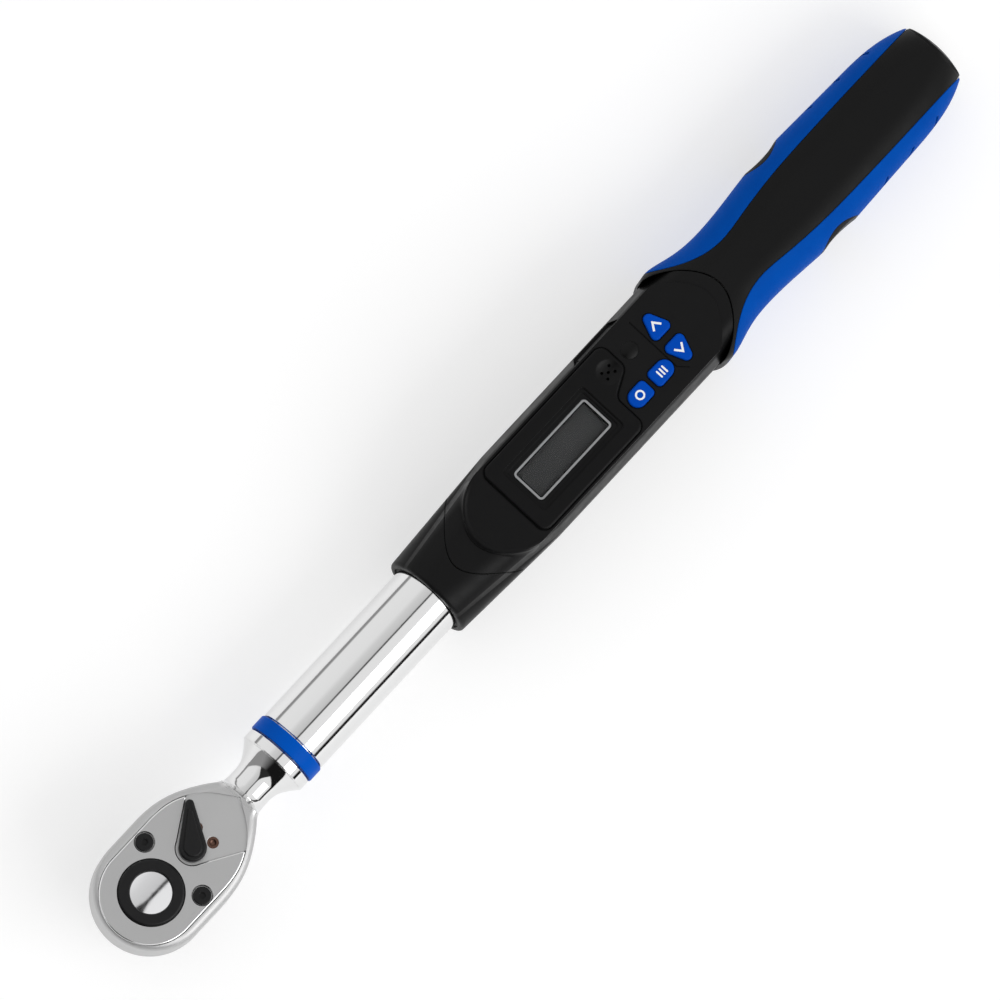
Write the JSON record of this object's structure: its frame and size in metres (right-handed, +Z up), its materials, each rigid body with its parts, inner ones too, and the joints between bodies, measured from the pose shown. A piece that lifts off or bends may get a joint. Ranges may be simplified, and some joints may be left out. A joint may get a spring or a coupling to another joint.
{
  "type": "torque wrench",
  "caption": "Digital torque wrench: reversible ratchet head with a square drive, chrome tube, housing with display and keys, and a contoured two-colour grip.",
  "frame": {"origin": "on the drive axis, in the plane of the shoulder that a socket seats on", "axes": "+X along the handle towards the grip, +Z up through the display side, the drive square points along -Z"},
  "size_m": [0.4159, 0.041, 0.0511],
  "materials": {
    "chrome": "polished",
    "satin_plate": "satin",
    "drive_steel": "machined",
    "polished_steel": "polished",
    "black_metal": "satin black",
    "brass": "coppery",
    "spring_steel": "plain",
    "blue_ring": "gloss blue",
    "black_plastic": "fine moulded grain",
    "bezel_plastic": "smooth satin",
    "window": "clear",
    "lcd": "grey liquid crystal",
    "board": "lacquered",
    "chips": "epoxy",
    "black_rubber": "soft matte",
    "mat_rubber": "silicone",
    "blue_key": "satin blue",
    "lamp_dark": "smoked",
    "lamp_red": "clear red",
    "port_metal": "plated",
    "grip_black": "soft satin",
    "grip_blue": "soft satin blue",
    "screw_steel": "zinc plated",
    "foil": "amber film",
    "sleeve_plastic": "plain",
    "cell": "printed wrap",
    "cap_plastic": "satin"
  },
  "bodies": {
    "handle": {"ratchet_head": "chrome", "tube": "chrome", "head_cover_plate": "satin_plate", "cover_screws": "black_metal", "lever_detent_seats": "brass", "pawl_spring": "spring_steel", "pawl_plunger": "spring_steel", "front_contact": "spring_steel", "marking_ring": "blue_ring", "lower_case": "black_plastic", "top_cover": "black_plastic", "display_bezel": "bezel_plastic", "display_lens": "window", "lcd_module": "lcd", "circuit_board": "board", "board_chips": "chips", "buzzer": "chips", "mouth_seal": "black_rubber", "keypad_mat": "mat_rubber", "led_lens": "lamp_dark", "led": "lamp_red", "port_connector": "port_metal", "grip_core": "grip_black", "grip_mark_left": "grip_black", "grip_mark_right": "grip_black", "grip_pad_left": "grip_blue", "grip_pad_right": "grip_blue", "case_screws": "screw_steel", "board_screws": "screw_steel", "grip_screw": "screw_steel", "beam_pins": "screw_steel", "strain_gauges": "foil", "gauge_ribbon": "foil", "battery_sleeve": "sleeve_plastic", "battery_front": "cell", "battery_rear": "cell"},
    "drive": {"drive_gear": "drive_steel", "thumb_ring": "black_metal", "release_spring": "spring_steel"},
    "button": {"release_button": "polished_steel"},
    "ball": {"detent_ball": "polished_steel"},
    "lever": {"reversing_lever": "black_metal"},
    "pawl": {"pawl": "spring_steel"},
    "up_key": {"key_up": "blue_key"},
    "down_key": {"key_down": "blue_key"},
    "clear_key": {"key_clear": "blue_key"},
    "unit_key": {"key_unit": "blue_key"},
    "port_flap": {"port_cover": "black_rubber"},
    "cap_carrier": {"cap_contact": "spring_steel", "cap_o_ring": "black_rubber"},
    "cap": {"battery_cap": "cap_plastic"}
  },
  "joints": [
    {"name": "drive_spin", "type": "hinge", "parent": "handle", "child": "drive", "pos_m": [0, 0, 0], "axis": [0, 0, 1], "continuous": true},
    {"name": "button_press", "type": "slide", "parent": "drive", "child": "button", "axis": [0, 0, -1], "range_m": [0, 0.003], "stiffness_N_per_m": 900, "deforming": ["release_spring"]},
    {"name": "ball_in", "type": "slide", "parent": "drive", "child": "ball", "axis": [-1, 0, 0], "range_m": [0, 0.0009]},
    {"name": "lever_swing", "type": "hinge", "parent": "handle", "child": "lever", "pos_m": [0.0206, 0, 0], "axis": [0, 0, 1], "range_deg": [-93.6, 0]},
    {"name": "pawl_rock", "type": "hinge", "parent": "handle", "child": "pawl", "pos_m": [0.0206, 0, 0], "axis": [0, 0, 1], "range_deg": [-10, 0]},
    {"name": "up_key_press", "type": "slide", "parent": "handle", "child": "up_key", "axis": [0, 0, -1], "range_m": [0, 0.0006], "stiffness_N_per_m": 700},
    {"name": "down_key_press", "type": "slide", "parent": "handle", "child": "down_key", "axis": [0, 0, -1], "range_m": [0, 0.0006], "stiffness_N_per_m": 700},
    {"name": "clear_key_press", "type": "slide", "parent": "handle", "child": "clear_key", "axis": [0, 0, -1], "range_m": [0, 0.0006], "stiffness_N_per_m": 700},
    {"name": "unit_key_press", "type": "slide", "parent": "handle", "child": "unit_key", "axis": [0, 0, -1], "range_m": [0, 0.0006], "stiffness_N_per_m": 700},
    {"name": "port_flap_open", "type": "hinge", "parent": "handle", "child": "port_flap", "pos_m": [0.2398, 0.01655, 0.0246], "axis": [-1, 0, 0], "range_deg": [0, 95]},
    {"name": "cap_pull", "type": "slide", "parent": "handle", "child": "cap_carrier", "axis": [1, 0, 0], "range_m": [0, 0.014]},
    {"name": "cap_turn", "type": "hinge", "parent": "cap_carrier", "child": "cap", "pos_m": [0.3873, 0, 0.0135], "axis": [1, 0, 0], "range_deg": [0, 60]}
  ],
  "couplings": [
    {"joint": "ball_in", "follows": "button_press", "ratio": 0.3},
    {"joint": "pawl_rock", "follows": "lever_swing", "ratio": 0.10684}
  ]
}
